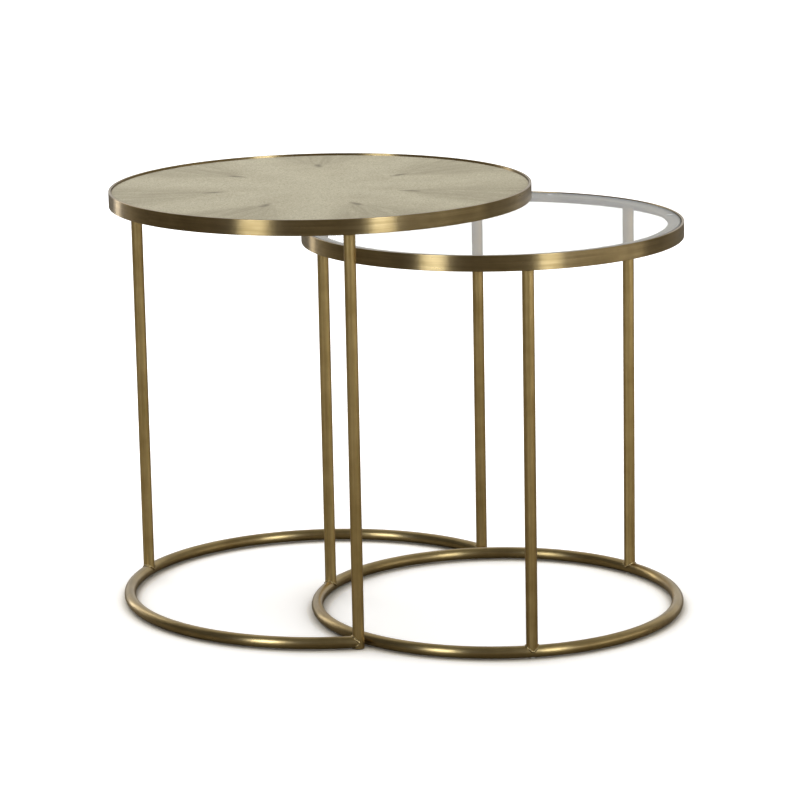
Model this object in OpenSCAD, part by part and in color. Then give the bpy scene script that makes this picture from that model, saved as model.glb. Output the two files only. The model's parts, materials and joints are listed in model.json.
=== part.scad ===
// Two round nesting side tables. The small table slides under the large one
// along +X until its rim comes to rest against two of the large table's legs.
// Z = 0 is the floor. X = 0 and Y = 0 are the middle of the nested pair.

/* [Large table] */
// Outer diameter of the large table's rim
large_d = 500; // [430:5:600]
// Height of the large table, floor to the top edge of its rim
large_h = 500; // [420:5:620]

/* [Small table] */
// Outer diameter of the small table's rim
small_d = 445; // [370:5:540]
// Free height between the small table's rim and the large table's rim above it
head_clearance = 17; // [14:1:60]
// Gap left between the small rim and the large legs when pushed right in
nest_gap = 0.5; // [0.4:0.1:5]

/* [Rims] */
// Height of the flat bar that each rim is rolled from
rim_h = 18; // [15:1:30]
// Thickness of that flat bar
rim_t = 3; // [2:0.5:5]
// Width of the flat ledge ring welded inside each rim
ledge_w = 16; // [14:1:24]
// Thickness of the ledge ring
ledge_t = 3; // [2:0.5:4]

/* [Tubes] */
// Diameter of the base ring tube
ring_tube_d = 14; // [14:0.5:20]
// Diameter of the leg tube
leg_tube_d = 13.5; // [10:0.5:13.5]
// Wall of both tubes
tube_wall = 1.2; // [0.8:0.1:2]
// How far the rim's bar is let into the outer side of a leg's notched top
leg_lap = 1.5; // [0.5:0.25:1.5]
// Diameter of the vent hole in a base ring under a leg
vent_d = 5; // [3:0.5:6]

/* [Panel of the large table] */
// How far the panel lies below the rim's top edge
panel_recess = 2.5; // [1:0.5:5]
// Thickness of the wedges of skin on the board
skin_t = 0.8; // [0.5:0.1:2]
// Thickness of the board
board_t = 9; // [6:0.5:15]
// Gap between the panel and the inside of the rim
panel_gap = 0.5; // [0.3:0.1:2]
// Direction of the middle of the first wedge
wedge_turn = 58; // [0:1:90]
// Width of the seam between two wedges
seam_w = 0.2; // [0.1:0.1:1]

/* [Board screws] */
// Diameter of a screw's shank
screw_d = 3.5; // [3:0.5:4]
// Diameter of a screw's pan head
screw_head_d = 7; // [6:0.5:8]
// Height of a screw's pan head
screw_head_h = 2.2; // [1.5:0.1:3]
// How far a screw goes into the board
screw_bite = 6; // [4:0.5:6]
// Clearance around a screw in the ledge
screw_clearance = 0.5; // [0.2:0.1:1]

/* [Glass of the small table] */
// Thickness of the glass
glass_t = 6; // [4:0.5:8]
// How far the glass lies below the rim's top edge
glass_recess = 0.5; // [0.2:0.1:3]
// Gap between the glass and the inside of the rim
glass_gap = 1; // [0.5:0.1:3]
// Ground chamfer on the edges of the glass
glass_chamfer = 0.8; // [0.3:0.1:1.5]
// Diameter of a bumper dot under the glass
dot_d = 8; // [5:0.5:12]
// Thickness of a bumper dot
dot_t = 1; // [0.5:0.1:2]
// Number of bumper dots
dot_count = 6; // [3:1:12]

/* [Welds] */
// Leg length of a fillet weld
weld = 1.2; // [0.8:0.1:2]
// How far a base ring's flat end stops short of the leg it is welded to
weld_root = 0.5; // [0.3:0.1:1.5]
// Number of tack welds under each ledge
tack_count = 6; // [6:6:12]
// Length of a tack weld
tack_len = 14; // [8:1:25]

/* [Feet] */
// Diameter of a floor pad
pad_d = 8; // [6:0.5:9]
// Thickness of a floor pad at its thinnest
pad_t = 1; // [0.8:0.1:3]
// Thickness of the plug in the bottom end of a leg that reaches the floor pad
plug_t = 1.5; // [1:0.5:4]

/* [Hidden] */
// Number of wedges of skin
wedge_count = 7;
// Number of screws that hold the board down on the ledge, one beside each leg
screw_count = 3;
$fn = 96;
// Through cuts start and end this far outside what they cut
over = 1;

large_r = large_d / 2;
small_r = small_d / 2;
small_h = large_h - rim_h - head_clearance;
ring_tube_r = ring_tube_d / 2;
leg_r = leg_tube_d / 2;
leg_bore_r = leg_r - tube_wall;

// The legs stand on the base ring's centre line, their outer side under the rim
leg_inset = rim_t - leg_lap + leg_r;
large_leg_circle = large_r - leg_inset;
small_leg_circle = small_r - leg_inset;
ring_z = pad_t + ring_tube_r;

// Legs are a third of a turn apart, with one straight behind the open side
REAR = 180;
LEFT = 60;
RIGHT = 300;
LEG_ANGLES = [REAR, LEFT, RIGHT];
OPEN_LEG_ANGLES = [LEFT, RIGHT];

// The nested distance leaves nest_gap between the small rim and the two legs
// beside the opening. A rim that fits between them stops level with them.
reach = small_r + leg_r + nest_gap;
half_gate = large_leg_circle * sin(LEFT);
gate_x = large_leg_circle * cos(LEFT);
nest_x = gate_x + sqrt(max(0, reach * reach - half_gate * half_gate));
back_x = min(-large_r, nest_x - small_r);
front_x = max(large_r, nest_x + small_r);
large_x = -(back_x + front_x) / 2;
small_x = large_x + nest_x;

large_rim_bottom = large_h - rim_h;
small_rim_bottom = small_h - rim_h;
board_top = large_h - panel_recess - skin_t;
large_ledge_top = board_top - board_t;
large_ledge_under = large_ledge_top - ledge_t;
glass_top = small_h - glass_recess;
small_ledge_top = glass_top - glass_t - dot_t;
small_ledge_under = small_ledge_top - ledge_t;
large_ledge_mid = large_r - rim_t - ledge_w / 2;
small_ledge_mid = small_r - rim_t - ledge_w / 2;

// Angle from a leg to the open ring's flat end, seen from the table's axis
end_setback = asin((leg_r + weld_root) / large_leg_circle);
// The end weld reaches back halfway to the leg's axis and stays off the floor
end_weld_len = leg_r / 2 + weld_root;
end_weld_flare = min(weld, pad_t / 2);
// Half the arc of ring that is modelled where a leg, pad or weld sits on it
seat_arc = 6;

BRASS = "#8a7445";
WELD_BRASS = "#9c8552";

// ---- shared shapes ----

module hoop(outer_r, inner_r, bottom_z, height) {
    rotate_extrude()
        translate([inner_r, bottom_z])
            square([outer_r - inner_r, height]);
}

// A solid rod bent to an arc about the table's axis
module bent_rod(circle_r, rod_r, start, span) {
    rotate_extrude(start = start, angle = span)
        translate([circle_r, ring_z])
            circle(r = rod_r);
}

// The short piece of base ring that a leg, pad or weld sits on
module ring_seat(circle_r) {
    bent_rod(circle_r, ring_tube_r, -seat_arc, 2 * seat_arc);
}

// Places children at a leg's foot, with the table's axis towards -X
module at_leg(circle_r, angle) {
    rotate(angle)
        translate([circle_r, 0, 0])
            children();
}

module rim_band(r, top_z) {
    color(BRASS)
        hoop(r, r - rim_t, top_z - rim_h, rim_h);
}

module rim_ledge(r, top_z) {
    hoop(r - rim_t, r - rim_t - ledge_w, top_z - ledge_t, ledge_t);
}

// Short fillets in the corner between the rim and the underside of its ledge
module ledge_tacks(r, under_z) {
    span = tack_len / r * 180 / PI;
    corner_r = r - rim_t;
    color(WELD_BRASS)
        for (i = [0 : tack_count - 1])
            rotate((i + 0.5) * 360 / tack_count - span / 2)
                rotate_extrude(angle = span)
                    polygon([
                        [corner_r, under_z],
                        [corner_r - weld, under_z],
                        [corner_r, under_z - weld]
                    ]);
}

// A tube that goes up to the underside of the ledge. Its top is notched on the
// outer side, where the rim's bar is let in.
module leg_tube(r, bottom_z, top_z, rim_bottom) {
    difference() {
        translate([r - leg_inset, 0, bottom_z])
            difference() {
                cylinder(h = top_z - bottom_z, r = leg_r);
                translate([0, 0, -over])
                    cylinder(h = top_z - bottom_z + 2 * over, r = leg_bore_r);
            }
        hoop(r + over, r - rim_t, rim_bottom, top_z - rim_bottom + over);
    }
}

// A leg whose lower end is cut to sit on the base ring
module standing_leg(r, top_z, rim_bottom, angle) {
    color(BRASS)
        rotate(angle)
            difference() {
                leg_tube(r, ring_z, top_z, rim_bottom);
                ring_seat(r - leg_inset);
            }
}

// A leg that goes down past the flat end of the base ring
module floor_leg(r, top_z, rim_bottom, angle) {
    color(BRASS)
        rotate(angle)
            leg_tube(r, pad_t, top_z, rim_bottom);
}

module vent(circle_r, angle) {
    at_leg(circle_r, angle)
        translate([0, 0, ring_z])
            cylinder(h = ring_tube_r + over, d = vent_d);
}

// A fillet all round a leg, under the height z
module leg_fillet(circle_r, angle, z) {
    at_leg(circle_r, angle)
        rotate_extrude()
            polygon([
                [leg_r, z],
                [leg_r + weld, z],
                [leg_r, z - weld]
            ]);
}

// At each leg: a fillet under the ledge, and one under the rim's lower edge
module leg_top_welds(r, ledge_under, rim_bottom) {
    inside_r = r - rim_t;
    circle_r = r - leg_inset;
    color(WELD_BRASS)
        for (a = LEG_ANGLES) {
            intersection() {
                leg_fillet(circle_r, a, ledge_under);
                cylinder(h = ledge_under + over, r = inside_r);
            }
            intersection() {
                leg_fillet(circle_r, a, rim_bottom);
                hoop(r, inside_r, rim_bottom - weld - over, weld + 2 * over);
            }
        }
}

// A collar in the crevice between a standing leg and the top of the base ring
module saddle_weld(circle_r, angle) {
    crest = ring_z + ring_tube_r;
    rotate(angle)
        difference() {
            translate([circle_r, 0, 0])
                rotate_extrude()
                    polygon([
                        [leg_r, ring_z + 2 * weld],
                        [leg_r + weld, ring_z + 2 * weld],
                        [leg_r + weld, crest - weld],
                        [leg_r, crest + weld]
                    ]);
            ring_seat(circle_r);
        }
}

// The weld between the open ring's flat end and the leg beside the opening. It
// flares towards the leg. side is 1 for the left leg and -1 for the right.
module end_weld(circle_r, angle, side) {
    rotate(angle)
        mirror([0, side < 0 ? 1 : 0, 0])
            difference() {
                rotate(end_setback)
                    translate([circle_r, 0, ring_z])
                        rotate([90, 0, 0])
                            cylinder(h = end_weld_len, r1 = ring_tube_r,
                                r2 = ring_tube_r + end_weld_flare);
                translate([circle_r, 0, -over])
                    cylinder(h = ring_z + 2 * ring_tube_r, r = leg_r);
            }
}

module ring_pad(circle_r, angle) {
    rotate(angle)
        difference() {
            translate([circle_r, 0, 0])
                cylinder(h = ring_z, d = pad_d);
            ring_seat(circle_r);
        }
}

module leg_pad(circle_r, angle) {
    at_leg(circle_r, angle)
        cylinder(h = pad_t, d = pad_d);
}

// ---- large table ----

module large_rim_band() {
    translate([large_x, 0, 0])
        rim_band(large_r, large_h);
}

module large_rim_ledge() {
    color(BRASS)
        translate([large_x, 0, 0])
            difference() {
                rim_ledge(large_r, large_ledge_top);
                for (i = [0 : screw_count - 1])
                    at_leg(large_ledge_mid, i * 360 / screw_count)
                        translate([0, 0, large_ledge_under - over])
                            cylinder(h = ledge_t + 2 * over, r = screw_d / 2 + screw_clearance);
            }
}

module large_ledge_tacks() {
    translate([large_x, 0, 0])
        ledge_tacks(large_r, large_ledge_under);
}

module large_board() {
    color("#a98f68")
        translate([large_x, 0, large_ledge_top])
            difference() {
                cylinder(h = board_t, r = large_r - rim_t - panel_gap);
                for (i = [0 : screw_count - 1])
                    at_leg(large_ledge_mid, i * 360 / screw_count)
                        translate([0, 0, -over])
                            cylinder(h = screw_bite + over, r = screw_d / 2);
            }
}

module panel_wedge(i) {
    span = 360 / wedge_count;
    seam_shift = seam_w / 2 / sin(span / 2);
    color("#bab29c")
        translate([large_x, 0, board_top])
            rotate(wedge_turn + (i - 1) * span)
                translate([seam_shift, 0, 0])
                    rotate_extrude(start = -span / 2, angle = span)
                        square([large_r - rim_t - panel_gap - seam_shift, skin_t]);
}

module board_screws() {
    slot_w = 0.9;
    slot_len = screw_head_d * 0.55;
    slot_depth = screw_head_h * 0.6;
    color("silver")
        translate([large_x, 0, 0])
            for (i = [0 : screw_count - 1])
                at_leg(large_ledge_mid, i * 360 / screw_count)
                    difference() {
                        translate([0, 0, large_ledge_under - screw_head_h])
                            union() {
                                cylinder(h = screw_head_h, d = screw_head_d);
                                cylinder(h = screw_head_h + ledge_t + screw_bite, d = screw_d);
                            }
                        for (turn = [0, 90])
                            rotate(turn)
                                translate([-slot_len / 2, -slot_w / 2,
                                    large_ledge_under - screw_head_h - over])
                                    cube([slot_len, slot_w, slot_depth + over]);
                    }
}

module large_leg_rear() {
    translate([large_x, 0, 0])
        standing_leg(large_r, large_ledge_under, large_rim_bottom, REAR);
}

module large_leg_left() {
    translate([large_x, 0, 0])
        floor_leg(large_r, large_ledge_under, large_rim_bottom, LEFT);
}

module large_leg_right() {
    translate([large_x, 0, 0])
        floor_leg(large_r, large_ledge_under, large_rim_bottom, RIGHT);
}

module large_leg_plugs() {
    color("dimgray")
        translate([large_x, 0, 0])
            for (a = OPEN_LEG_ANGLES)
                at_leg(large_leg_circle, a)
                    translate([0, 0, pad_t])
                        cylinder(h = plug_t, r = leg_bore_r);
}

// An open ring: the side that the small table passes through has no tube
module large_base_ring() {
    start = LEFT + end_setback;
    span = RIGHT - LEFT - 2 * end_setback;
    color(BRASS)
        translate([large_x, 0, 0])
            difference() {
                bent_rod(large_leg_circle, ring_tube_r, start, span);
                bent_rod(large_leg_circle, ring_tube_r - tube_wall, start - 1, span + 2);
                vent(large_leg_circle, REAR);
            }
}

module large_leg_top_welds() {
    translate([large_x, 0, 0])
        leg_top_welds(large_r, large_ledge_under, large_rim_bottom);
}

module large_base_welds() {
    color(WELD_BRASS)
        translate([large_x, 0, 0]) {
            saddle_weld(large_leg_circle, REAR);
            end_weld(large_leg_circle, LEFT, 1);
            end_weld(large_leg_circle, RIGHT, -1);
        }
}

module large_floor_pads() {
    color("gainsboro")
        translate([large_x, 0, 0]) {
            ring_pad(large_leg_circle, REAR);
            for (a = OPEN_LEG_ANGLES)
                leg_pad(large_leg_circle, a);
        }
}

// ---- small table ----

module small_rim_band() {
    translate([small_x, 0, 0])
        rim_band(small_r, small_h);
}

module small_rim_ledge() {
    color(BRASS)
        translate([small_x, 0, 0])
            rim_ledge(small_r, small_ledge_top);
}

module small_ledge_tacks() {
    translate([small_x, 0, 0])
        ledge_tacks(small_r, small_ledge_under);
}

module small_glass_top() {
    edge_r = small_r - rim_t - glass_gap;
    c = glass_chamfer;
    color("lightcyan", 0.4)
        translate([small_x, 0, glass_top - glass_t])
            rotate_extrude()
                polygon([
                    [0, 0], [edge_r - c, 0], [edge_r, c],
                    [edge_r, glass_t - c], [edge_r - c, glass_t], [0, glass_t]
                ]);
}

module small_glass_dots() {
    color("whitesmoke", 0.6)
        translate([small_x, 0, small_ledge_top])
            for (i = [0 : dot_count - 1])
                at_leg(small_ledge_mid, (i + 0.5) * 360 / dot_count)
                    cylinder(h = dot_t, d = dot_d);
}

module small_leg(angle) {
    translate([small_x, 0, 0])
        standing_leg(small_r, small_ledge_under, small_rim_bottom, angle);
}

// A full ring, vented into each leg that stands on it
module small_base_ring() {
    color(BRASS)
        translate([small_x, 0, 0])
            difference() {
                bent_rod(small_leg_circle, ring_tube_r, 0, 360);
                bent_rod(small_leg_circle, ring_tube_r - tube_wall, 0, 360);
                for (a = LEG_ANGLES)
                    vent(small_leg_circle, a);
            }
}

module small_leg_top_welds() {
    translate([small_x, 0, 0])
        leg_top_welds(small_r, small_ledge_under, small_rim_bottom);
}

module small_base_welds() {
    color(WELD_BRASS)
        translate([small_x, 0, 0])
            for (a = LEG_ANGLES)
                saddle_weld(small_leg_circle, a);
}

module small_floor_pads() {
    color("gainsboro")
        translate([small_x, 0, 0])
            for (a = LEG_ANGLES)
                ring_pad(small_leg_circle, a);
}

large_rim_band();
large_rim_ledge();
large_ledge_tacks();
large_board();
panel_wedge(1);  // panel_wedge_1
panel_wedge(2);  // panel_wedge_2
panel_wedge(3);  // panel_wedge_3
panel_wedge(4);  // panel_wedge_4
panel_wedge(5);  // panel_wedge_5
panel_wedge(6);  // panel_wedge_6
panel_wedge(7);  // panel_wedge_7
board_screws();
large_leg_rear();
large_leg_left();
large_leg_right();
large_leg_plugs();
large_base_ring();
large_leg_top_welds();
large_base_welds();
large_floor_pads();
small_rim_band();
small_rim_ledge();
small_ledge_tacks();
small_glass_top();
small_glass_dots();
small_leg(REAR);  // small_leg_rear
small_leg(LEFT);  // small_leg_left
small_leg(RIGHT);  // small_leg_right
small_base_ring();
small_leg_top_welds();
small_base_welds();
small_floor_pads();
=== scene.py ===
import json

import bmesh
import bpy
import numpy as np
from mathutils import Matrix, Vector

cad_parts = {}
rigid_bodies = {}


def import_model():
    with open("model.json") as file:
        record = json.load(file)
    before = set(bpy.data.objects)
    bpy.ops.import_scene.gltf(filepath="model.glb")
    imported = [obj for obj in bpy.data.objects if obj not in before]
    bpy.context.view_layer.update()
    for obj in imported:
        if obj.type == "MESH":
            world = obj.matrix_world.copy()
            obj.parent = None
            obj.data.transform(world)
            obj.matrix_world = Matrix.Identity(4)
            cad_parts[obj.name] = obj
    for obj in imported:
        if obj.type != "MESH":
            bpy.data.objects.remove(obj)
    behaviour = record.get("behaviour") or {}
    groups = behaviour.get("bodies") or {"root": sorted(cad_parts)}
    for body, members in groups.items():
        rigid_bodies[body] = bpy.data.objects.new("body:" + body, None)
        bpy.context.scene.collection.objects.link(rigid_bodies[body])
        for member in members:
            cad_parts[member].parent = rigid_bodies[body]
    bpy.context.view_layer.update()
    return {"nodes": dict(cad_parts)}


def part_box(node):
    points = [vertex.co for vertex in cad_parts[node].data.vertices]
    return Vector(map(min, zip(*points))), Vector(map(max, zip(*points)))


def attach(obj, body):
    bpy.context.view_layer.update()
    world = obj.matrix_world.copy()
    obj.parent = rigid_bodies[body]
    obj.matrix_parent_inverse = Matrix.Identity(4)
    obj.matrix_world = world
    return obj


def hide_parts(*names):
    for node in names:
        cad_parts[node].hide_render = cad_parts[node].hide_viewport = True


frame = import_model()
MM = 0.001

# ---------------------------------------------------------------------------------------------
# The two rims. Each is 18 x 3 mm flat steel bar rolled into a hoop, butt-welded and dressed.
# Its corners are broken by hand, then it is plated in antique brass, brushed along its length
# and lacquered.
# ---------------------------------------------------------------------------------------------
EASED_CORNER = 0.45 * MM
CORNER_STEPS = 5
HOOP_STEPS = 480
RIM_THICKNESS = 3.0 * MM
HOOP_SEAM = np.radians(241.0)    # where the butt weld of both hoops lies


def round_node(name):
    """Centre X, outer radius, bottom and top of a round CAD node, in metres."""
    low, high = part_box(name)
    return (low.x + high.x) / 2, (high.x - low.x) / 2, low.z, high.z


def eased(corners, radius=EASED_CORNER, steps=CORNER_STEPS):
    """A closed section with eased corners. At each corner P, with A and B one radius back along
    its two sides, the curve is (1-t)^2 A + 2t(1-t) P + t^2 B. One more point stands on each side,
    two and a half radii from P, so that the flat faces keep their flat shading."""
    p = np.asarray(corners, float)
    back, ahead = np.roll(p, 1, 0) - p, np.roll(p, -1, 0) - p
    back /= np.linalg.norm(back, axis=1)[:, None]
    ahead /= np.linalg.norm(ahead, axis=1)[:, None]
    t = np.linspace(0, 1, steps)[None, :, None]
    a, b = (p + radius * back)[:, None], (p + radius * ahead)[:, None]
    arc = (1 - t) ** 2 * a + 2 * t * (1 - t) * p[:, None] + t ** 2 * b
    hold = 2.5 * radius
    return np.concatenate(
        [(p + hold * back)[:, None], arc, (p + hold * ahead)[:, None]], 1
    ).reshape(-1, 2)


def surface(name, points, across, along, ring=True, loop=True):
    """A mesh on a grid of points. Row i goes round the section and column j goes along the piece.
    ring joins the last row to the first, and loop the last column to the first. The UV map
    'grain' holds the distance across the brushing and along it, in metres. Points that meet at a
    pole are made one, and the faces are turned outwards."""
    rows, cols = points.shape[:2]
    i = np.arange(rows if ring else rows - 1)
    j = np.arange(cols if loop else cols - 1)
    ii, jj = (g.ravel() for g in np.meshgrid(i, j, indexing="ij"))
    i2, j2 = (ii + 1) % rows, (jj + 1) % cols
    quads = np.stack([ii * cols + jj, i2 * cols + jj, i2 * cols + j2, ii * cols + j2], 1)
    faces = quads.tolist()
    flat = points.reshape(-1, 3)
    mesh = bpy.data.meshes.new(name)
    mesh.from_pydata(flat.tolist(), [], faces)
    u = np.stack([across[ii], across[ii + 1], across[ii + 1], across[ii]], 1)
    v = np.stack([along[jj], along[jj], along[jj + 1], along[jj + 1]], 1)
    grain = mesh.uv_layers.new(name="grain")
    grain.data.foreach_set("uv", np.stack([u.ravel(), v.ravel()], 1).ravel())
    work = bmesh.new()
    work.from_mesh(mesh)
    bmesh.ops.remove_doubles(work, verts=work.verts, dist=1e-7)
    bmesh.ops.holes_fill(work, edges=[e for e in work.edges if e.is_boundary], sides=0)
    if work.calc_volume(signed=True) < 0:
        bmesh.ops.reverse_faces(work, faces=work.faces)
    work.to_mesh(mesh)
    work.free()
    mesh.shade_smooth()
    mesh.set_sharp_from_angle(angle=np.radians(40))
    piece = bpy.data.objects.new(name, mesh)
    bpy.context.scene.collection.objects.link(piece)
    return piece


def lengths(points):
    """Running distance along a closed row of points, with the closing step at the end."""
    step = np.linalg.norm(np.roll(points, -1, 0) - points, axis=1)
    return np.concatenate([[0], np.cumsum(step)])


def hoop(name, section, centre_x, start=0.0):
    """A closed section of (radius, height) points turned about the vertical line at centre_x."""
    turn = start + np.linspace(0, 2 * np.pi, HOOP_STEPS, endpoint=False)
    r, z = section[:, 0, None], section[:, 1, None]
    points = np.stack(
        [centre_x + r * np.cos(turn), r * np.sin(turn), z + 0 * turn], 2
    )
    reach = section[:, 0].max() * np.linspace(0, 2 * np.pi, HOOP_STEPS + 1)
    return surface(name, points, lengths(section), reach)


def linear(code):
    """An sRGB hex colour as linear RGBA."""
    c = np.array([int(code[k:k + 2], 16) for k in (1, 3, 5)]) / 255
    c = np.where(c <= 0.04045, c / 12.92, ((c + 0.055) / 1.055) ** 2.4)
    return (*c.tolist(), 1.0)


def add(tree, kind, inputs=None, **settings):
    """Adds a shader node, with its settings. A socket given as an input is linked to it, and a
    value is set on it."""
    made = tree.nodes.new("ShaderNode" + kind)
    for key, value in settings.items():
        setattr(made, key, value)
    for key, value in (inputs or {}).items():
        if isinstance(value, bpy.types.NodeSocket):
            tree.links.new(value, made.inputs[key])
        else:
            made.inputs[key].default_value = value
    return made


def new_material(name):
    """An empty material with its Principled shader, as (material, tree, shader)."""
    made = bpy.data.materials.new(name)
    made.use_nodes = True
    return made, made.node_tree, made.node_tree.nodes["Principled BSDF"]


# Antique brass plate on steel, brushed with an abrasive belt and lacquered. The lines spread a
# highlight across themselves and keep it short along themselves. The toned plate is uneven:
# darker where the dip took more, paler where the belt cut through.
def antique_brass(name, pale, dark, roughness, spread, line_mm=0.9, toning=1.0):
    made, tree, shader = new_material(name)
    grain = add(tree, "UVMap", uv_map="grain").outputs["UV"]
    place = add(tree, "TexCoord").outputs["Object"]
    line = add(tree, "Mapping", {"Vector": grain, "Scale": (1 / (line_mm * MM), 1 / 0.045, 1)})
    lines = add(tree, "TexNoise", {
        "Vector": line.outputs[0], "Scale": 1.0, "Detail": 4.0, "Roughness": 0.65,
    }).outputs["Fac"]
    streak = add(tree, "Mapping", {"Vector": grain, "Scale": (1 / 0.0045, 1 / 0.16, 1)})
    streaks = add(tree, "TexNoise", {
        "Vector": streak.outputs[0], "Scale": 1.0, "Detail": 2.0, "Roughness": 0.5,
    }).outputs["Fac"]
    cloud = add(tree, "TexNoise", {
        "Vector": place, "Scale": 1 / 0.038, "Detail": 3.0, "Roughness": 0.55,
    }).outputs["Fac"]
    both = add(tree, "Math", {0: streaks, 1: cloud}, operation="ADD").outputs[0]
    all_three = add(tree, "Math", {0: lines, 1: 0.55, 2: both}, operation="MULTIPLY_ADD")
    share = add(tree, "MapRange", {
        "Value": all_three.outputs[0], "From Min": 1.05, "From Max": 1.55,
        "To Min": 0.5 - 0.5 * toning, "To Max": 0.5 + 0.5 * toning,
    }).outputs["Result"]
    colour = add(tree, "Mix", {
        0: share, 6: linear(dark), 7: linear(pale),
    }, data_type="RGBA").outputs[2]
    tree.links.new(colour, shader.inputs["Base Color"])
    rough = add(tree, "MapRange", {
        "Value": all_three.outputs[0], "From Min": 1.0, "From Max": 1.6,
        "To Min": roughness + 0.04, "To Max": roughness - 0.04,
    }).outputs["Result"]
    tree.links.new(rough, shader.inputs["Roughness"])
    bump = add(tree, "Bump", {"Height": lines, "Strength": 0.35, "Distance": 0.05 * MM})
    tree.links.new(bump.outputs[0], shader.inputs["Normal"])
    tangent = add(tree, "Tangent", direction_type="UV_MAP", uv_map="grain")
    tree.links.new(tangent.outputs[0], shader.inputs["Tangent"])
    shader.inputs["Metallic"].default_value = 1.0
    shader.inputs["Anisotropic"].default_value = spread
    shader.inputs["Coat Weight"].default_value = 0.5
    shader.inputs["Coat Roughness"].default_value = 0.28
    return made


rim_brass = antique_brass("antique_brass_rim", "#BDA36E", "#9E8552", 0.31, 1.0)

rims = {}
for table in ("large", "small"):
    node = f"{table}_rim_band"
    x, r, low, high = round_node(node)
    inner = r - RIM_THICKNESS
    corners = [(r, low), (r, high), (inner, high), (inner, low)]
    band = hoop(f"{table}_rim", eased(corners), x, HOOP_SEAM)
    band.data.materials.append(rim_brass)
    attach(band, f"{table}_table")
    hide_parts(node)
    rims[table] = dict(x=x, low=low, inner=inner)

# ---------------------------------------------------------------------------------------------
# The ledges. A 16 x 3 mm bar is rolled the hard way and tacked inside each rim, to carry the
# board or the glass. It is plated with the rim, and shows through the glass and from below.
# ---------------------------------------------------------------------------------------------
LEDGE_WIDTH = 16.0 * MM
ledge_brass = antique_brass("antique_brass_ledge", "#D2C094", "#B7A374", 0.42, 0.6)

ledge_under = {}
for table in rims:
    node = f"{table}_rim_ledge"
    x, r, low, high = round_node(node)
    inner = r - LEDGE_WIDTH
    ledge = hoop(f"{table}_ledge", eased([(r, low), (r, high), (inner, high), (inner, low)]), x)
    ledge.data.materials.append(ledge_brass)
    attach(ledge, f"{table}_table")
    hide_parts(node)
    ledge_under[table] = low

# ---------------------------------------------------------------------------------------------
# The panel. Seven wedges of beige shagreen are glued to the board, edge to edge. Each has the
# dark scar of the spine in its middle, with darker grain that fans out from it to the rim.
# ---------------------------------------------------------------------------------------------
WEDGE_COUNT = 7
WEDGE_TURN = np.radians(58.0)
SEAM = 0.02 * MM            # the glue line between two wedges
SKIN_ROLL = 0.03 * MM       # how far the cut edge of a skin rolls down
SPINE_AT = (                # angle and radius of each wedge's scar, in degrees and mm
    (61, 123.5), (113, 164), (160, 137), (214, 129), (266, 143), (310, 136.5), (359, 116),
)


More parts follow.
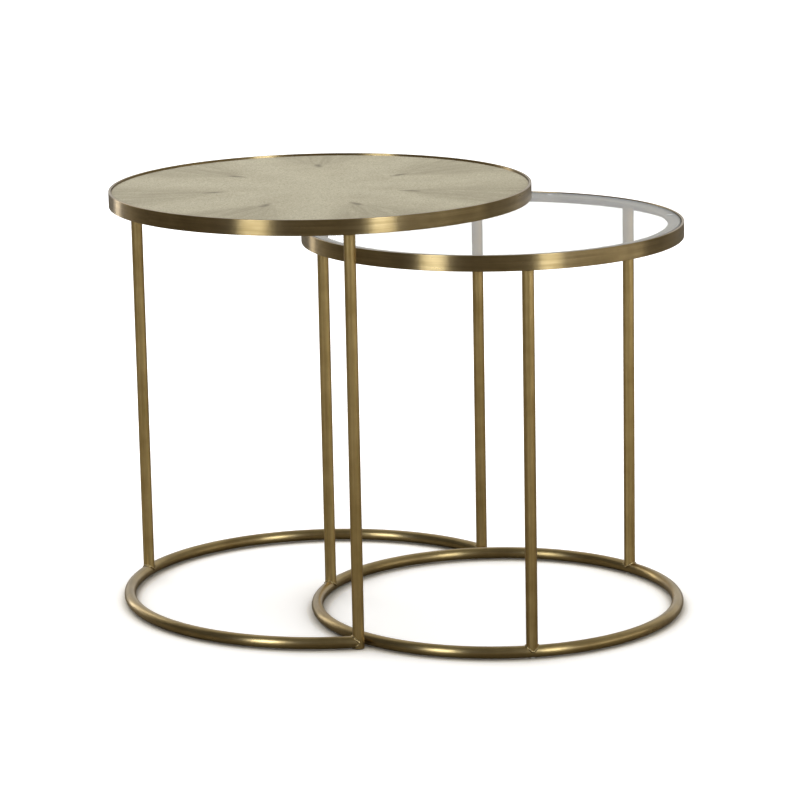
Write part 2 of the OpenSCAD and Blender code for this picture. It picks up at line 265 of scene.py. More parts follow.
def shagreen():
    """Dyed shagreen: packed round pebbles about 1.5 mm across, ground flat and polished, with
    darker grout between them and a satin face."""
    made, tree, shader = new_material("shagreen_beige")
    skin = add(tree, "UVMap", uv_map="skin").outputs["UV"]
    seam = add(tree, "Attribute", attribute_name="seam").outputs["Fac"]
    place = add(tree, "TexCoord").outputs["Object"]
    pebbles = add(tree, "TexVoronoi", {
        "Vector": place, "Scale": 1 / (1.5 * MM), "Randomness": 0.85,
    }, feature="SMOOTH_F1").outputs["Distance"]
    grit = add(tree, "TexNoise", {
        "Vector": place, "Scale": 1 / (2.6 * MM), "Detail": 3.0, "Roughness": 0.7,
    }).outputs["Fac"]
    clouds = add(tree, "TexNoise", {
        "Vector": place, "Scale": 1 / (42 * MM), "Detail": 4.0, "Roughness": 0.6,
    }).outputs["Fac"]
    # the skin's own place: X runs outwards from the scar, Y across the wedge, in metres
    part = add(tree, "SeparateXYZ", {"Vector": skin})
    out, side = part.outputs["X"], part.outputs["Y"]
    # the scar: a dark almond, about 23 mm long and 8 mm wide where it is half as dark
    warp = add(tree, "TexNoise", {
        "Vector": skin, "Scale": 1 / (9 * MM), "Detail": 3.0, "Roughness": 0.6,
    }).outputs["Fac"]
    scar = add(tree, "Mapping", {"Vector": skin, "Scale": (1 / (19 * MM), 1 / (7 * MM), 1)})
    scar_far = add(tree, "VectorMath", {0: scar.outputs[0]}, operation="LENGTH").outputs["Value"]
    scar_worn = add(tree, "Math", {0: warp, 1: 1.3, 2: scar_far}, operation="MULTIPLY_ADD")
    scar_dark = add(tree, "MapRange", {
        "Value": scar_worn.outputs[0], "From Min": 0.75, "From Max": 1.75,
        "To Min": 1.0, "To Max": 0.0,
    }, interpolation_type="SMOOTHSTEP").outputs["Result"]
    # the fan: streaks at an angle from the scar, so a noise of side / out
    ahead = add(tree, "Math", {0: out, 1: 0.018}, operation="ADD").outputs[0]
    ahead = add(tree, "Math", {0: ahead, 1: 0.004}, operation="MAXIMUM").outputs[0]
    slope = add(tree, "Math", {0: side, 1: ahead}, operation="DIVIDE").outputs[0]
    ray_place = add(tree, "CombineXYZ", {
        "X": add(tree, "Math", {0: slope, 1: 9.0}, operation="MULTIPLY").outputs[0],
        "Y": add(tree, "Math", {0: out, 1: 12.0}, operation="MULTIPLY").outputs[0],
    }).outputs[0]
    rays = add(tree, "TexNoise", {
        "Vector": ray_place, "Scale": 1.0, "Detail": 4.0, "Roughness": 0.6,
    }).outputs["Fac"]
    spread = add(tree, "Math", {0: slope}, operation="ABSOLUTE").outputs[0]
    within = add(tree, "MapRange", {
        "Value": spread, "From Min": 0.25, "From Max": 0.95, "To Min": 1.0, "To Max": 0.0,
    }, interpolation_type="SMOOTHSTEP").outputs["Result"]
    begun = add(tree, "MapRange", {
        "Value": out, "From Min": -0.02, "From Max": 0.02, "To Min": 0.0, "To Max": 1.0,
    }, interpolation_type="SMOOTHSTEP").outputs["Result"]
    fan_place = add(tree, "Math", {0: within, 1: begun}, operation="MULTIPLY").outputs[0]
    fan = add(tree, "MapRange", {
        "Value": rays, "From Min": 0.35, "From Max": 0.65, "To Min": 0.1, "To Max": 1.0,
    }).outputs["Result"]
    fan_dark = add(tree, "Math", {0: fan_place, 1: fan}, operation="MULTIPLY").outputs[0]
    # the pale strip beside each seam
    beside = add(tree, "MapRange", {
        "Value": seam, "From Min": 0.0, "From Max": 0.034, "To Min": 1.0, "To Max": 0.0,
    }, interpolation_type="SMOOTHSTEP").outputs["Result"]
    ground = add(tree, "Mix", {
        0: add(tree, "MapRange", {"Value": clouds, "From Min": 0.35, "From Max": 0.65}).outputs[0],
        6: linear("#AAA289"), 7: linear("#B6AF95"),
    }, data_type="RGBA").outputs[2]
    fanned = add(tree, "Mix", {
        0: add(tree, "Math", {0: fan_dark, 1: 0.8}, operation="MULTIPLY").outputs[0],
        6: ground, 7: linear("#877F66"),
    }, data_type="RGBA").outputs[2]
    paled = add(tree, "Mix", {
        0: add(tree, "Math", {0: beside, 1: 0.5}, operation="MULTIPLY").outputs[0],
        6: fanned, 7: linear("#BAB49B"),
    }, data_type="RGBA").outputs[2]
    scarred = add(tree, "Mix", {
        0: add(tree, "Math", {0: scar_dark, 1: 0.85}, operation="MULTIPLY").outputs[0],
        6: paled, 7: linear("#554D38"),
    }, data_type="RGBA").outputs[2]
    speck = add(tree, "Math", {0: pebbles, 1: grit}, operation="ADD").outputs[0]
    grout = add(tree, "MapRange", {
        "Value": speck, "From Min": 0.75, "From Max": 1.25, "To Min": 0.0, "To Max": 0.85,
    }).outputs["Result"]
    grained = add(tree, "Mix", {
        0: grout, 6: scarred, 7: linear("#8A8269"),
    }, data_type="RGBA").outputs[2]
    tree.links.new(grained, shader.inputs["Base Color"])
    rough = add(tree, "MapRange", {
        "Value": grit, "From Min": 0.3, "From Max": 0.7, "To Min": 0.5, "To Max": 0.66,
    }).outputs["Result"]
    tree.links.new(rough, shader.inputs["Roughness"])
    bump = add(tree, "Bump", {
        "Height": speck, "Strength": 0.8, "Distance": 0.1 * MM,
    }, invert=True)
    tree.links.new(bump.outputs[0], shader.inputs["Normal"])
    shader.inputs["IOR"].default_value = 1.5
    return made


skin_finish = shagreen()
board_x, board_r, _, board_top = round_node("large_board")
skin_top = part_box("panel_wedge_1")[1].z
half_wedge = np.pi / WEDGE_COUNT
for number in range(1, WEDGE_COUNT + 1):
    node = f"panel_wedge_{number}"
    middle = WEDGE_TURN + (number - 1) * 2 * half_wedge
    # out: share of the way from the tip to the rim; side: share of the half angle
    share = np.concatenate([[0.0], np.geomspace(0.004, 1 - 0.004, 88), [1 - 0.0015, 1.0]])
    swing = np.concatenate([[-1, -0.992], np.linspace(-0.97, 0.97, 61), [0.992, 1]])
    tip = SEAM / 2 / np.sin(half_wedge)
    r, a = np.meshgrid(tip + share * (board_r - tip), swing * half_wedge, indexing="ij")
    # the wedge's sides stay half a seam from the plane between two wedges
    a = np.clip(a, -half_wedge + SEAM / 2 / r, half_wedge - SEAM / 2 / r)
    to_seam = np.maximum(r * np.sin(half_wedge - np.abs(a)), 0)
    edge = np.minimum(to_seam, board_r - r)
    rolled = SKIN_ROLL * np.clip(1 - edge / (0.9 * MM), 0, 1) ** 2
    top = np.stack([r * np.cos(a), r * np.sin(a), skin_top - rolled], 2)
    under = top.copy()
    under[:, :, 2] = board_top
    shell = np.concatenate([top, under[::-1]], 0)
    local = shell[:, :, :2].copy()
    c, s = np.cos(middle), np.sin(middle)
    shell[:, :, 0], shell[:, :, 1] = (
        board_x + c * local[:, :, 0] - s * local[:, :, 1],
        s * local[:, :, 0] + c * local[:, :, 1],
    )
    rows, cols = shell.shape[:2]
    wedge = surface(
        f"skin_wedge_{number}", shell, np.arange(rows + 1) * 1.0, np.arange(cols) * 1.0,
        ring=True, loop=False,
    )
    co = np.empty(len(wedge.data.vertices) * 3)
    wedge.data.vertices.foreach_get("co", co)
    co = co.reshape(-1, 3) - (board_x, 0, 0)
    flat_x, flat_y = c * co[:, 0] + s * co[:, 1], -s * co[:, 0] + c * co[:, 1]
    reach, bearing = np.hypot(flat_x, flat_y), np.abs(np.arctan2(flat_y, flat_x))
    scar_angle, scar_r = SPINE_AT[number - 1]
    lean = np.radians(scar_angle) - middle
    lean = (lean + np.pi) % (2 * np.pi) - np.pi
    # the skin's map turns with the scar, and is centred on it
    own_x = np.cos(lean) * flat_x + np.sin(lean) * flat_y - scar_r * MM
    own_y = -np.sin(lean) * flat_x + np.cos(lean) * flat_y
    corner = np.empty(len(wedge.data.loops), int)
    wedge.data.loops.foreach_get("vertex_index", corner)
    skin_map = wedge.data.uv_layers.new(name="skin")
    skin_map.data.foreach_set("uv", np.stack([own_x, own_y], 1)[corner].ravel())
    wedge.data.uv_layers.remove(wedge.data.uv_layers["grain"])
    seam = wedge.data.attributes.new("seam", "FLOAT", "POINT")
    seam.data.foreach_set("value", np.maximum(reach * np.sin(half_wedge - bearing), 0))
    wedge.data.materials.append(skin_finish)
    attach(wedge, "large_table")
    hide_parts(node)

# ---------------------------------------------------------------------------------------------
# The board and its screws. The wedges are glued to 9 mm fibreboard, which three screws hold
# down on the ledge from below. Both are seen only from under the large table.
# ---------------------------------------------------------------------------------------------
fibre, tree, shader = new_material("fibreboard_raw")
place = add(tree, "TexCoord").outputs["Object"]
fibres = add(tree, "TexNoise", {
    "Vector": place, "Scale": 1 / (2.2 * MM), "Detail": 5.0, "Roughness": 0.75,
}).outputs["Fac"]
blotch = add(tree, "TexNoise", {
    "Vector": place, "Scale": 1 / (55 * MM), "Detail": 3.0,
}).outputs["Fac"]
mixed = add(tree, "Math", {0: blotch, 1: 0.6, 2: fibres}, operation="MULTIPLY_ADD").outputs[0]
tree.links.new(add(tree, "Mix", {
    0: add(tree, "MapRange", {"Value": mixed, "From Min": 0.55, "From Max": 1.05}).outputs[0],
    6: linear("#7E6242"), 7: linear("#A98A63"),
}, data_type="RGBA").outputs[2], shader.inputs["Base Color"])
tree.links.new(add(tree, "MapRange", {
    "Value": fibres, "To Min": 0.78, "To Max": 0.92,
}).outputs[0], shader.inputs["Roughness"])
tree.links.new(add(tree, "Bump", {
    "Height": fibres, "Strength": 0.3, "Distance": 0.08 * MM,
}).outputs[0], shader.inputs["Normal"])

zinc, tree, shader = new_material("zinc_plate")
place = add(tree, "TexCoord").outputs["Object"]
spangle = add(tree, "TexVoronoi", {"Vector": place, "Scale": 1 / (1.1 * MM)}).outputs["Color"]
bright = add(tree, "SeparateColor", {"Color": spangle}).outputs["Red"]
tree.links.new(add(tree, "Mix", {
    0: bright, 6: linear("#A9ABA8"), 7: linear("#C6C8C4"),
}, data_type="RGBA").outputs[2], shader.inputs["Base Color"])
tree.links.new(add(tree, "MapRange", {
    "Value": bright, "To Min": 0.28, "To Max": 0.42,
}).outputs[0], shader.inputs["Roughness"])
shader.inputs["Metallic"].default_value = 1.0


def finish_node(name, material):
    """Gives a CAD node that stays as it is its material, in every slot it has."""
    slots = frame["nodes"][name].data.materials
    if not slots:
        slots.append(material)
    for k in range(len(slots)):
        slots[k] = material


finish_node("large_board", fibre)
finish_node("board_screws", zinc)

# ---------------------------------------------------------------------------------------------
# The legs. Each is 13.5 mm steel tube with a 1.2 mm wall. Its top goes up to the ledge and is
# notched where the rim's bar is let in. Its foot is cut to the round of the base ring, or, on
# the open side of the large ring, goes down to a pad on the floor.
# ---------------------------------------------------------------------------------------------
LEG_R = 6.75 * MM
LEG_WALL = 1.2 * MM
RIM_LAP = 1.5 * MM
RING_TUBE_R = 7.0 * MM
PAD_T = 1.0 * MM
RING_Z = PAD_T + RING_TUBE_R
LEG_SIDES = 56
SUNK = 0.3 * MM             # how far a foot goes into the ring's tube
BEARING = {"rear": 180.0, "left": 60.0, "right": 300.0}
leg_brass = antique_brass("antique_brass_tube", "#C9AB6C", "#A78A4E", 0.44, 0.6, line_mm=0.7)
for rim in rims.values():
    rim["legs"] = rim["inner"] + RIM_LAP - LEG_R


def leg(name, rim, top, bearing, stands_on_ring):
    """A hollow tube. Round the tube is angle t: x = R + r cos t, y = r sin t, from the table's
    axis. Up it, the wall's outer face goes from the foot to the top and its inner face comes
    back. Above the rim's lower edge, x is held inside the rim. The foot is at
    z = ring + sqrt(tube^2 - (distance from the axis - R)^2) where the leg stands on the ring."""
    t = np.linspace(0, 2 * np.pi, LEG_SIDES, endpoint=False)
    shares = np.concatenate([[0.0, 0.003], np.linspace(0.02, 1, 24)])
    walls = []
    for radius, room in ((LEG_R, 0.0), (LEG_R - LEG_WALL, 0.3 * MM)):
        x = rim["legs"] + radius * np.cos(t)
        y = radius * np.sin(t)
        foot = np.full_like(t, PAD_T)
        if stands_on_ring:
            off = np.clip(np.hypot(x, y) - rim["legs"], -RING_TUBE_R, RING_TUBE_R)
            foot = RING_Z + np.sqrt(RING_TUBE_R ** 2 - off ** 2) - SUNK
        z = foot[:, None] + (rim["low"] - foot)[:, None] * shares
        z = np.concatenate([z, np.full((len(t), 1), rim["low"]), np.full((len(t), 1), top)], 1)
        held = np.minimum(x, np.sqrt(rim["inner"] ** 2 - y ** 2) - room)
        xs = np.repeat(x[:, None], z.shape[1], 1)
        xs[:, -2:] = held[:, None]
        walls.append(np.stack([xs, np.repeat(y[:, None], z.shape[1], 1), z], 2))
    grid = np.concatenate([walls[0], walls[1][:, ::-1]], 1)
    c, s = np.cos(np.radians(bearing)), np.sin(np.radians(bearing))
    points = np.stack([
        rim["x"] + c * grid[:, :, 0] - s * grid[:, :, 1],
        s * grid[:, :, 0] + c * grid[:, :, 1], grid[:, :, 2],
    ], 2)
    up = np.concatenate([grid[LEG_SIDES // 4, :, 2], [PAD_T]])
    return surface(name, points, LEG_R * np.linspace(0, 2 * np.pi, LEG_SIDES + 1), up)


for table, rim in rims.items():
    for side, bearing in BEARING.items():
        node = f"{table}_leg_{side}"
        on_ring = table == "small" or side == "rear"
        tube = leg(f"{table}_tube_{side}", rim, ledge_under[table], bearing, on_ring)
        tube.data.materials.append(leg_brass)
        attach(tube, f"{table}_table")
        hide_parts(node)
finish_node("large_leg_plugs", ledge_brass)

# ---------------------------------------------------------------------------------------------
# The base rings. 14 mm tube is bent to a full circle for the small table, and to an arc of 240
# degrees for the large one, whose ends are shaped to butt against the two floor legs.
# ---------------------------------------------------------------------------------------------
RING_STEPS = 420
RING_SIDES = 36
ring_brass = antique_brass("antique_brass_ring", "#C2A86E", "#9F8650", 0.31, 0.82, line_mm=0.7)

for table, rim in rims.items():
    whole = table == "small"
    start = np.radians(BEARING["rear"] if whole else BEARING["left"])
    span = 2 * np.pi if whole else np.radians(BEARING["right"] - BEARING["left"])
    turn = start + np.linspace(0, span, RING_STEPS, endpoint=not whole)
    bend = np.linspace(0, 2 * np.pi, RING_SIDES, endpoint=False)[:, None]
    reach = rim["legs"] + RING_TUBE_R * np.cos(bend)
    points = np.stack([
        rim["x"] + reach * np.cos(turn), reach * np.sin(turn),
        RING_Z + RING_TUBE_R * np.sin(bend) + 0 * turn,
    ], 2)
    along = rim["legs"] * np.linspace(0, span, RING_STEPS + 1)
    ring = surface(
        f"{table}_ring", points, RING_TUBE_R * np.linspace(0, 2 * np.pi, RING_SIDES + 1),
        along, loop=whole,
    )
    ring.data.materials.append(ring_brass)
    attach(ring, f"{table}_table")
    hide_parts(f"{table}_base_ring")

# ---------------------------------------------------------------------------------------------
# The welds. A bead runs round each foot in the crease with the ring, round each shaped end of
# the open ring, and round each leg's top. They are rippled, dressed lightly and plated with
# the frame, so they shine more than the tubes do.
# ---------------------------------------------------------------------------------------------
BEAD_SIDES = 14
BEAD_STEPS = 132
RIPPLES = 17                # on a bead right round a leg
chance = np.random.default_rng(7)
weld_brass = antique_brass("antique_brass_weld", "#C8AE76", "#8D7747", 0.3, 0.0, line_mm=1.6)


def bead(path, radius, closed, out):
    """Points of a bead along a path: at each point, a circle of that radius in the plane of out
    and the path's cross direction. The radius is rippled by a sine and by slow random swells."""
    ahead = np.roll(path, -1, 0) - np.roll(path, 1, 0) if closed else np.gradient(path, axis=0)
    ahead /= np.linalg.norm(ahead, axis=1)[:, None]
    out = out - (out * ahead).sum(1)[:, None] * ahead
    out /= np.linalg.norm(out, axis=1)[:, None]
    cross = np.cross(ahead, out)
    n = len(path)
    t = np.arange(n) / n * 2 * np.pi
    swell = sum(chance.uniform(-0.05, 0.05) * np.sin(k * t + chance.uniform(0, 6.28))
                for k in (1, 2, 3, 5))
    radius = radius * (1 + 0.07 * np.sin(RIPPLES * t) + swell)
    a = np.linspace(0, 2 * np.pi, BEAD_SIDES, endpoint=False)[:, None, None]
    return path + radius[:, None] * (np.cos(a) * out + np.sin(a) * cross)


def joined_beads(name, beads, rim, table, node):
    """Makes one piece of several beads. Each is (points about the table's axis, closed)."""
    parts = []
    for points, closed in beads:
        moved = points + (rim["x"], 0, 0)
        parts.append(surface(
            name, moved, np.arange(BEAD_SIDES + 1) * 0.5 * MM,
            np.arange(points.shape[1] + 1) * 0.4 * MM, loop=closed,
        ))
    work = bmesh.new()
    for part in parts:
        work.from_mesh(part.data)
    piece = parts[0]
    work.to_mesh(piece.data)
    work.free()
    for part in parts[1:]:
        bpy.data.objects.remove(part)
    piece.name = name
    piece.data.materials.append(weld_brass)
    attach(piece, f"{table}_table")
    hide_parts(node)


def at_bearing(points, bearing):
    """Turns points about the table's axis."""
    c, s = np.cos(np.radians(bearing)), np.sin(np.radians(bearing))
    return points @ np.array([[c, s, 0], [-s, c, 0], [0, 0, 1]])


t = np.linspace(0, 2 * np.pi, BEAD_STEPS, endpoint=False)
for table, rim in rims.items():
    feet, tops = [], []
    for side, bearing in BEARING.items():
        if table == "small" or side == "rear":
            # the crease: the leg's face where it meets the ring's tube
            r = LEG_R + 0.15 * MM
            x, y = rim["legs"] + r * np.cos(t), r * np.sin(t)
            off = np.clip(np.hypot(x, y) - rim["legs"], -RING_TUBE_R, RING_TUBE_R)
            z = RING_Z + np.sqrt(RING_TUBE_R ** 2 - off ** 2)
            out = np.stack([np.cos(t), np.sin(t), 0 * t + 0.4], 1)
            path = np.stack([x, y, z], 1)
            feet.append((bead(path, 1.35 * MM + 0 * t, True, out), bearing, True))
        else:
            # the shaped end: round the ring's tube where it meets the leg's face
            away = 1 if side == "left" else -1
            dx, dz = RING_TUBE_R * np.cos(t), RING_TUBE_R * np.sin(t)
            reach = np.sqrt(np.maximum(LEG_R ** 2 - dx ** 2, 0)) + 0.2 * MM
            path = np.stack([rim["legs"] + dx, away * reach, RING_Z + dz], 1)
            out = np.stack([np.cos(t), 0 * t, np.sin(t)], 1)
            size = (1.1 + 0.35 * np.sin(t)) * MM
            feet.append((bead(path, size, True, out), bearing, True))
        # under the rim's lower edge, on the part of the leg that stands out below it
        half = np.arccos((rim["inner"] - rim["legs"]) / LEG_R) * 0.93
        arc = np.linspace(-half, half, 34)
        r = LEG_R + 0.1 * MM
        path = np.stack([rim["legs"] + r * np.cos(arc), r * np.sin(arc), 0 * arc + rim["low"]], 1)
        taper = np.sqrt(np.clip(1 - (arc / half) ** 2, 0, 1))
        out = np.stack([np.cos(arc), np.sin(arc), 0 * arc], 1)
        tops.append((bead(path, 0.8 * MM * taper + 1e-6, False, out), bearing, False))
        # under the ledge, on the rest of the leg
        arc = np.linspace(half * 1.2, 2 * np.pi - half * 1.2, 100)
        taper = np.clip(8 * np.sin(np.linspace(0, np.pi, len(arc))), 0, 1)
        path = np.stack([
            rim["legs"] + r * np.cos(arc), r * np.sin(arc), 0 * arc + ledge_under[table],
        ], 1)
        out = np.stack([np.cos(arc), np.sin(arc), 0 * arc], 1)
        tops.append((bead(path, 0.95 * MM * taper + 1e-6, False, out), bearing, False))
    for group, node in ((feet, f"{table}_base_welds"), (tops, f"{table}_leg_top_welds")):
        turned = [(at_bearing(points, b), closed) for points, b, closed in group]
        joined_beads(node.replace("welds", "beads"), turned, rim, table, node)
    finish_node(f"{table}_ledge_tacks", weld_brass)

# ---------------------------------------------------------------------------------------------
# The glass. A 6 mm disc of clear toughened float glass lies loose on clear dots inside the
# small rim. Its faces are bright, and its edge is ground with a small bevel each side.
# ---------------------------------------------------------------------------------------------
GLASS_BEVEL = 0.8 * MM
GLASS_STEPS = 360

clear_glass, tree, shader = new_material("float_glass_clear")
place = add(tree, "TexCoord").outputs["Object"]
smear = add(tree, "TexNoise", {
    "Vector": place, "Scale": 1 / (60 * MM), "Detail": 4.0, "Roughness": 0.6,
}).outputs["Fac"]
tree.links.new(add(tree, "MapRange", {
    "Value": smear, "From Min": 0.35, "From Max": 0.75, "To Min": 0.0, "To Max": 0.035,
}).outputs[0], shader.inputs["Roughness"])
shader.inputs["Base Color"].default_value = linear("#FBFDFB")
shader.inputs["IOR"].default_value = 1.52
shader.inputs["Transmission Weight"].default_value = 1.0

ground_glass, tree, shader = new_material("float_glass_ground_edge")
place = add(tree, "TexCoord").outputs["Object"]
grind = add(tree, "TexNoise", {
    "Vector": place, "Scale": 1 / (0.8 * MM), "Detail": 3.0,
}).outputs["Fac"]
tree.links.new(add(tree, "MapRange", {
    "Value": grind, "To Min": 0.25, "To Max": 0.5,
}).outputs[0], shader.inputs["Roughness"])
tree.links.new(add(tree, "Bump", {
    "Height": grind, "Strength": 0.4, "Distance": 0.03 * MM,
}).outputs[0], shader.inputs["Normal"])
shader.inputs["Base Color"].default_value = linear("#CFE2D8")
shader.inputs["IOR"].default_value = 1.52
shader.inputs["Transmission Weight"].default_value = 1.0

x, r, low, high = round_node("small_glass_top")
section = np.array([
    (0, high), (r * 0.5, high), (r - 3 * GLASS_BEVEL, high), (r - GLASS_BEVEL, high),
    (r, high - GLASS_BEVEL), (r, low + GLASS_BEVEL), (r - GLASS_BEVEL, low),
    (r - 3 * GLASS_BEVEL, low), (r * 0.5, low), (0, low),
])
turn = np.linspace(0, 2 * np.pi, GLASS_STEPS, endpoint=False)
points = np.stack([
    x + section[:, 0, None] * np.cos(turn), section[:, 0, None] * np.sin(turn),
    section[:, 1, None] + 0 * turn,
], 2)
across = np.concatenate([[0], np.cumsum(np.linalg.norm(np.diff(section, axis=0), axis=1))])
pane = surface("glass_disc", points, across, r * np.append(turn, 2 * np.pi), ring=False)
pane.data.materials.append(clear_glass)
pane.data.materials.append(ground_glass)
edge_low, edge_high = low + 0.05 * MM, high - 0.05 * MM
for face in pane.data.polygons:
    z = face.center.z
    face.material_index = 1 if edge_low < z < edge_high else 0
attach(pane, "glass_top")
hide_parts("small_glass_top")
pane.visible_shadow = False
# the pane does not mirror the large top above it, nor the small rim the large table's legs
LARGE_TOP = (
    "skin_wedge", "large_rim", "large_ledge", "large_leg_top", "large_board", "board_screws",
)
for piece in bpy.data.objects:
    if piece.name.startswith(LARGE_TOP):
        piece.visible_glossy = False
        piece.visible_transmission = False
    if piece.name.startswith("large_tube"):
        piece.visible_glossy = False

# ---------------------------------------------------------------------------------------------
# The clear parts. Six polyurethane dots lie between ledge and glass, and a pad is stuck under
# each leg, so that nothing rattles or marks the floor.
# ---------------------------------------------------------------------------------------------
for name, code, nodes, depth in (
    ("polyurethane_clear", "#EEEDE6", ["small_glass_dots"], 0.8),
    ("polyurethane_pad", "#D5D2C6", ["large_floor_pads", "small_floor_pads"], 0.5),
):
    soft, tree, shader = new_material(name)
    place = add(tree, "TexCoord").outputs["Object"]
    dust = add(tree, "TexNoise", {
        "Vector": place, "Scale": 1 / (1.4 * MM), "Detail": 3.0,
    }).outputs["Fac"]
    tree.links.new(add(tree, "MapRange", {
        "Value": dust, "To Min": 0.35, "To Max": 0.6,
    }).outputs[0], shader.inputs["Roughness"])
    shader.inputs["Base Color"].default_value = linear(code)
    shader.inputs["IOR"].default_value = 1.49
    shader.inputs["Transmission Weight"].default_value = depth
    for node in nodes:
        finish_node(node, soft)

# ---------------------------------------------------------------------------------------------
# The studio. A white floor, two tall softboxes either side of the camera, a wide one overhead,
# white cards to the left and right, and a dark room with a pale wall behind the tables.
# ---------------------------------------------------------------------------------------------
CAMERA_AT = (1.43474, -3.68051, 1.13333)
LOOK = np.radians(111.2685)        # the way the camera looks, about +Z from +X
PITCH = np.radians(12.678)
ROLL = np.radians(1.123)
LENS = 153.22

FLOOR_R = 40.0
FLOOR_LIFT = 0.3
FLOOR_SIDES = 96
turn = np.linspace(0, 2 * np.pi, FLOOR_SIDES, endpoint=False)
rings = np.array([0.0, 1.0, 4.0, 12.0, FLOOR_R])[:, None]
floor_points = np.stack([rings * np.cos(turn), rings * np.sin(turn), 0 * rings + 0 * turn], 2)
quads = [
    (i + j, i + (j + 1) % FLOOR_SIDES, i + FLOOR_SIDES + (j + 1) % FLOOR_SIDES, i + FLOOR_SIDES + j)
    for i in range(0, (len(rings) - 1) * FLOOR_SIDES, FLOOR_SIDES) for j in range(FLOOR_SIDES)
]
mesh = bpy.data.meshes.new("floor")
mesh.from_pydata(floor_points.reshape(-1, 3).tolist(), [], quads)
floor = bpy.data.objects.new("floor", mesh)
bpy.context.scene.collection.objects.link(floor)

paper, tree, shader = new_material("studio_floor")
path = add(tree, "LightPath")
# the metal sees a dimmer floor than the camera does, and the paper is lit up to white far off
reflected = add(tree, "Math", {
    0: path.outputs["Glossy Depth"], 1: 1.0,
}, operation="MINIMUM").outputs[0]
# painted contact shade: an ambient occlusion mask darkens the paper's colour, and its glow, in the
# last centimetres before a tube that stands on it
near = add(tree, "AmbientOcclusion", {"Distance": 0.12}, samples=8).outputs["AO"]
clear_of_painted_shade = add(tree, "MapRange", {
    "Value": near, "From Min": 0.5, "From Max": 1.0,
}, interpolation_type="SMOOTHSTEP").outputs["Result"]
# painted contact shade: the paper colour is mixed towards a shade colour near the tubes
paper_with_painted_shade = add(tree, "Mix", {
    0: clear_of_painted_shade, 6: linear("#E2DDD3"), 7: linear("#FBFAF8"),
}, data_type="RGBA").outputs[2]
shade = add(tree, "Mix", {
    0: reflected, 6: paper_with_painted_shade, 7: linear("#8C8578"),
}, data_type="RGBA").outputs[2]
tree.links.new(shade, shader.inputs["Base Color"])
shader.inputs["Roughness"].default_value = 0.9
shader.inputs["Specular IOR Level"].default_value = 0.0
place = add(tree, "TexCoord").outputs["Object"]
far = add(tree, "VectorMath", {0: place}, operation="LENGTH").outputs["Value"]
glow = add(tree, "MapRange", {
    "Value": far, "From Min": 0.4, "From Max": 3.0, "To Min": FLOOR_LIFT, "To Max": 0.9,
}, interpolation_type="SMOOTHSTEP").outputs["Result"]
# the pane takes some light away, so the paper is a little brighter behind it
through = add(tree, "Math", {
    0: path.outputs["Transmission Depth"], 1: 1.0,
}, operation="MINIMUM").outputs[0]
glow = add(tree, "Math", {0: through, 1: 0.7, 2: glow}, operation="MULTIPLY_ADD").outputs[0]
# painted contact shade: the same mask dims the glow near the tubes
glow = add(tree, "Math", {0: glow, 1: clear_of_painted_shade}, operation="MULTIPLY").outputs[0]
lit = add(tree, "Math", {0: reflected, 1: path.outputs["Is Diffuse Ray"]}, operation="MAXIMUM")
unlit = add(tree, "Math", {0: 1.0, 1: lit.outputs[0]}, operation="SUBTRACT").outputs[0]
tree.links.new(
    add(tree, "Math", {0: glow, 1: unlit}, operation="MULTIPLY").outputs[0],
    shader.inputs["Emission Strength"],
)
shader.inputs["Emission Color"].default_value = (1, 1, 1, 1)
floor.data.materials.append(paper)

world = bpy.data.worlds.new("studio")
bpy.context.scene.world = world
world.use_nodes = True
tree = world.node_tree
background = tree.nodes["Background"]
path = add(tree, "LightPath")
way = add(tree, "TexCoord").outputs["Generated"]
wall_bearing = LOOK + np.radians(5)
wall_way = (np.cos(wall_bearing) * 0.97, np.sin(wall_bearing) * 0.97, 0.24)
towards_wall = add(tree, "VectorMath", {0: way, 1: wall_way}, operation="DOT_PRODUCT")
wall = add(tree, "MapRange", {
    "Value": towards_wall.outputs["Value"], "From Min": 0.52, "From Max": 0.62,
}, interpolation_type="SMOOTHSTEP").outputs["Result"]
right_way = (np.sin(LOOK), -np.cos(LOOK), 0.0)
towards_right = add(tree, "VectorMath", {0: way, 1: right_way}, operation="DOT_PRODUCT")
room = add(tree, "MapRange", {
    "Value": towards_right.outputs["Value"], "From Min": -0.6, "From Max": 0.8,
    "To Min": 0.07, "To Max": 0.3,
}).outputs["Result"]
seen = add(tree, "Mix", {0: wall, 2: room, 3: 0.58}, data_type="FLOAT").outputs[0]
reflected = add(tree, "Math", {
    0: path.outputs["Glossy Depth"], 1: 1.0,
}, operation="MINIMUM").outputs[0]
plain = add(tree, "Mix", {
    0: path.outputs["Is Diffuse Ray"], 2: 1.1, 3: 0.62,
}, data_type="FLOAT").outputs[0]
level = add(tree, "Mix", {0: reflected, 2: plain, 3: seen}, data_type="FLOAT").outputs[0]
tree.links.new(level, background.inputs["Strength"])
background.inputs["Color"].default_value = (1, 1, 1, 1)


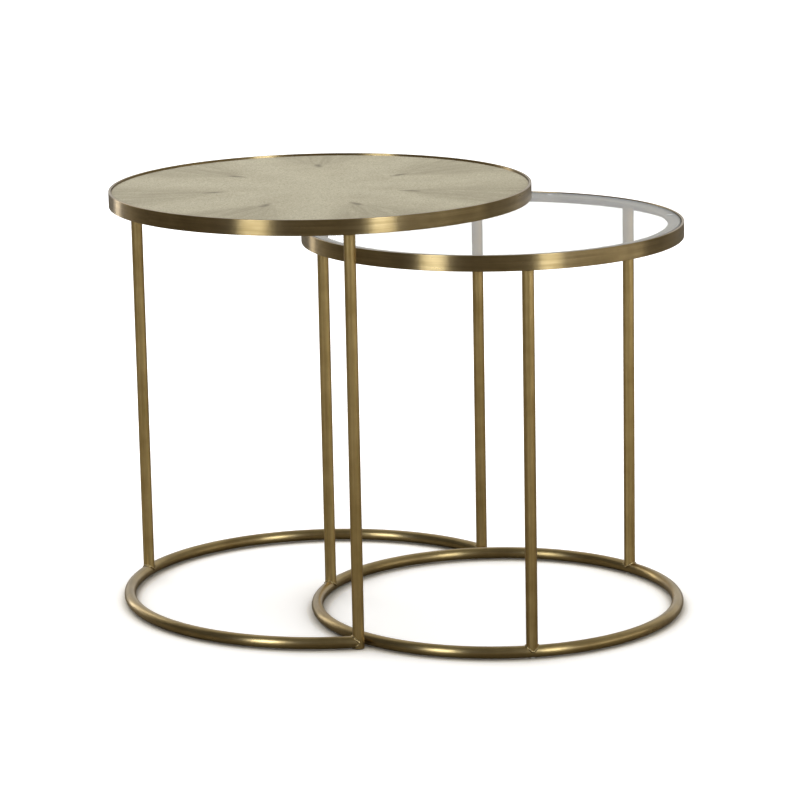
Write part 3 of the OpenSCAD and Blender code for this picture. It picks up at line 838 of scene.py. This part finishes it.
def softbox(name, bearing, distance, height, width, tall, radiance, aim, tint=(1, 1, 1)):
    """An area light that faces aim, unseen itself. Its power is pi x area x radiance."""
    lamp = bpy.data.lights.new(name, "AREA")
    lamp.color = tint
    lamp.shape = "RECTANGLE"
    lamp.size, lamp.size_y = width, tall
    lamp.energy = np.pi * width * tall * radiance
    made = bpy.data.objects.new(name, lamp)
    bpy.context.scene.collection.objects.link(made)
    at = np.array([distance * np.cos(bearing), distance * np.sin(bearing), height])
    back = at - np.array(aim)
    back /= np.linalg.norm(back)
    side = np.cross((0, 0, 1), back) if abs(back[2]) < 0.999 else np.array((1.0, 0, 0))
    side /= np.linalg.norm(side)
    over = np.cross(back, side)
    made.matrix_world = Matrix([
        (side[k], over[k], back[k], at[k]) for k in range(3)
    ] + [(0, 0, 0, 1)])
    made.visible_camera = False
    made.visible_transmission = False
    return made


camera_bearing = LOOK + np.pi
MIDDLE = (0.0, 0.0, 0.3)
DAYLIGHT = (0.9, 1.0, 1.22)
WARM = (1.02, 1.0, 0.96)
left, right = (
    softbox(name, camera_bearing + np.radians(turned), 5.0, 1.6, width, 3.1, 6.2, MIDDLE, DAYLIGHT)
    for name, turned, width in (("softbox_left", -35.2, 1.36), ("softbox_right", 32.8, 1.18))
)
overhead = softbox("overhead", LOOK, 0.3, 3.2, 3.0, 3.0, 1.75, (0.0, 0.0, 0.0), WARM)
overhead.visible_glossy = False
left.visible_diffuse = right.visible_diffuse = False
# a low white card to the right lifts the small rim and the legs on that side
softbox("card_right", np.radians(-2), 1.6, 0.24, 1.6, 0.46, 0.85, (0.12, 0.0, 0.24))
# a narrow strip at the back left draws a line down the left end of each rim
softbox("strip_left", np.radians(157), 2.3, 0.8, 0.3, 1.6, 2.3, MIDDLE)
# a card over the back left makes the panel paler towards that side
card_left = softbox("card_left", np.radians(148), 1.3, 1.0, 1.2, 1.2, 1.7, (-0.1, 0.0, 0.5))
card_left.visible_glossy = False

ahead = np.array([np.cos(LOOK) * np.cos(PITCH), np.sin(LOOK) * np.cos(PITCH), -np.sin(PITCH)])
level_right = np.array([np.sin(LOOK), -np.cos(LOOK), 0.0])
down = np.cross(ahead, level_right)
right = np.cos(ROLL) * level_right + np.sin(ROLL) * down
down = -np.sin(ROLL) * level_right + np.cos(ROLL) * down
lens = bpy.data.cameras.new("camera")
lens.sensor_width, lens.lens = 36.0, LENS
lens.clip_end = 200.0
camera = bpy.data.objects.new("camera", lens)
bpy.context.scene.collection.objects.link(camera)
camera.matrix_world = Matrix([
    (right[k], -down[k], -ahead[k], CAMERA_AT[k]) for k in range(3)
] + [(0, 0, 0, 1)])
bpy.context.scene.camera = camera
bpy.context.scene.view_settings.view_transform = "Standard"
